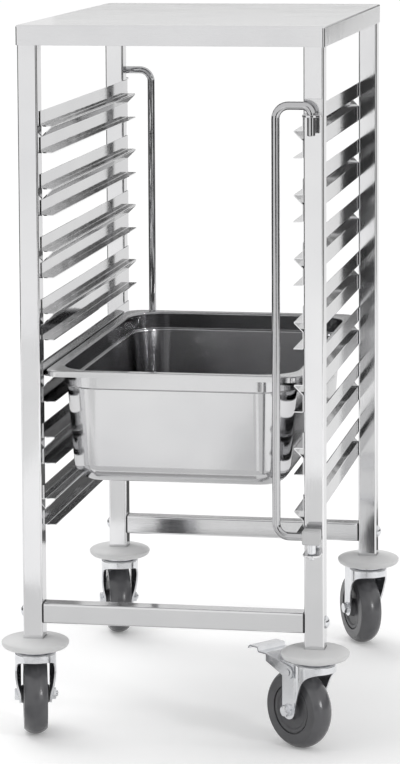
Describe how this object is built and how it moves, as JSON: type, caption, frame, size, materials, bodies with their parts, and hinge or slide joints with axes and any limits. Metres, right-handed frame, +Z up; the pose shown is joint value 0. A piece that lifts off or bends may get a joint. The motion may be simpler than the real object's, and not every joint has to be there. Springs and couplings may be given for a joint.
{
  "type": "gastronorm rack trolley",
  "caption": "Low stainless trolley with folded runners for gastronorm containers, a flat worktop, swinging retaining bars, swivel casters with round bumpers and a brake pedal.",
  "frame": {"origin": "on the floor, under the middle of the bounding box with the casters as they stand", "axes": "+X to the right seen from the front, +Y from the front to the rear, +Z up"},
  "size_m": [0.44, 0.6458, 0.9],
  "materials": {
    "sheet_steel": "fine brushed stainless sheet",
    "tube_steel": "fine brushed stainless tube",
    "container_steel": "satin drawn stainless sheet",
    "rod_steel": "drawn stainless rod",
    "foot_metal": "matt grey coat on steel",
    "zinc_plate": "bright zinc plate",
    "bumper_plastic": "moulded light grey, soft sheen",
    "plug_plastic": "moulded black",
    "hub_plastic": "moulded dark grey",
    "tyre_rubber": "dark grey rubber, soft sheen"
  },
  "bodies": {
    "frame": {"worktop": "sheet_steel", "post_front_left": "tube_steel", "post_front_right": "tube_steel", "post_rear_left": "tube_steel", "post_rear_right": "tube_steel", "runner_left_1": "sheet_steel", "runner_right_1": "sheet_steel", "runner_left_2": "sheet_steel", "runner_right_2": "sheet_steel", "runner_left_3": "sheet_steel", "runner_right_3": "sheet_steel", "runner_left_4": "sheet_steel", "runner_right_4": "sheet_steel", "runner_left_5": "sheet_steel", "runner_right_5": "sheet_steel", "runner_left_6": "sheet_steel", "runner_right_6": "sheet_steel", "runner_left_7": "sheet_steel", "runner_right_7": "sheet_steel", "crossbar_front": "tube_steel", "crossbar_rear": "tube_steel", "crossbar_end_plugs": "plug_plastic", "crossbar_bolts": "zinc_plate", "post_end_plugs": "plug_plastic", "caster_stems": "zinc_plate", "upper_bracket_front": "sheet_steel", "lower_bracket_front": "sheet_steel", "upper_bracket_rear": "sheet_steel", "lower_bracket_rear": "sheet_steel", "bumper_front_left": "bumper_plastic", "bumper_front_right": "bumper_plastic", "bumper_rear_left": "bumper_plastic", "bumper_rear_right": "bumper_plastic"},
    "retaining_bar_front": {"retaining_bar_front": "rod_steel", "hinge_foot_front": "foot_metal"},
    "retaining_bar_rear": {"retaining_bar_rear": "rod_steel", "hinge_foot_rear": "foot_metal"},
    "container": {"gn_container": "container_steel"},
    "swivel_front_left": {"caster_fork_front_left": "zinc_plate", "swivel_race_front_left": "zinc_plate", "axle_front_left": "zinc_plate"},
    "wheel_front_left": {"wheel_hub_front_left": "hub_plastic", "tyre_front_left": "tyre_rubber"},
    "swivel_front_right": {"caster_fork_front_right": "zinc_plate", "swivel_race_front_right": "zinc_plate", "axle_front_right": "zinc_plate", "brake_pedal_rivets": "zinc_plate"},
    "wheel_front_right": {"wheel_hub_front_right": "hub_plastic", "tyre_front_right": "tyre_rubber"},
    "swivel_rear_left": {"caster_fork_rear_left": "zinc_plate", "swivel_race_rear_left": "zinc_plate", "axle_rear_left": "zinc_plate"},
    "wheel_rear_left": {"wheel_hub_rear_left": "hub_plastic", "tyre_rear_left": "tyre_rubber"},
    "swivel_rear_right": {"caster_fork_rear_right": "zinc_plate", "swivel_race_rear_right": "zinc_plate", "axle_rear_right": "zinc_plate"},
    "wheel_rear_right": {"wheel_hub_rear_right": "hub_plastic", "tyre_rear_right": "tyre_rubber"},
    "brake_pedal": {"brake_pedal": "zinc_plate"}
  },
  "joints": [
    {"name": "retaining_bar_front_swing", "type": "hinge", "parent": "frame", "child": "retaining_bar_front", "pos_m": [0.1775, -0.31193, 0.2778], "axis": [0, 0, 1], "range_deg": [0, 180]},
    {"name": "retaining_bar_rear_swing", "type": "hinge", "parent": "frame", "child": "retaining_bar_rear", "pos_m": [-0.1775, 0.27807, 0.2778], "axis": [0, 0, 1], "range_deg": [0, 180]},
    {"name": "container_slide", "type": "slide", "parent": "frame", "child": "container", "axis": [0, 1, 0], "range_m": [-0.024, 0.024]},
    {"name": "swivel_front_left", "type": "hinge", "parent": "frame", "child": "swivel_front_left", "pos_m": [-0.1775, -0.27943, 0.113], "axis": [0, 0, 1], "continuous": true},
    {"name": "wheel_front_left_spin", "type": "hinge", "parent": "swivel_front_left", "child": "wheel_front_left", "pos_m": [-0.18501, -0.25039, 0.05], "axis": [0.9681, 0.2504, 0], "continuous": true},
    {"name": "swivel_front_right", "type": "hinge", "parent": "frame", "child": "swivel_front_right", "pos_m": [0.1775, -0.27943, 0.113], "axis": [0, 0, 1], "continuous": true},
    {"name": "wheel_front_right_spin", "type": "hinge", "parent": "swivel_front_right", "child": "wheel_front_right", "pos_m": [0.15419, -0.26055, 0.05], "axis": [0.6293, 0.7771, 0], "continuous": true},
    {"name": "brake_pedal_press", "type": "hinge", "parent": "swivel_front_right", "child": "brake_pedal", "pos_m": [0.15652, -0.26244, 0.099], "axis": [-0.6293, -0.7771, 0], "range_deg": [0, 20]},
    {"name": "swivel_rear_left", "type": "hinge", "parent": "frame", "child": "swivel_rear_left", "pos_m": [-0.1775, 0.24557, 0.113], "axis": [0, 0, 1], "continuous": true},
    {"name": "wheel_rear_left_spin", "type": "hinge", "parent": "swivel_rear_left", "child": "wheel_rear_left", "pos_m": [-0.18627, 0.27426, 0.05], "axis": [0.9563, 0.2924, 0], "continuous": true},
    {"name": "swivel_rear_right", "type": "hinge", "parent": "frame", "child": "swivel_rear_right", "pos_m": [0.1775, 0.24557, 0.113], "axis": [0, 0, 1], "continuous": true},
    {"name": "wheel_rear_right_spin", "type": "hinge", "parent": "swivel_rear_right", "child": "wheel_rear_right", "pos_m": [0.16318, 0.27193, 0.05], "axis": [0.8788, 0.4772, 0], "continuous": true}
  ]
}
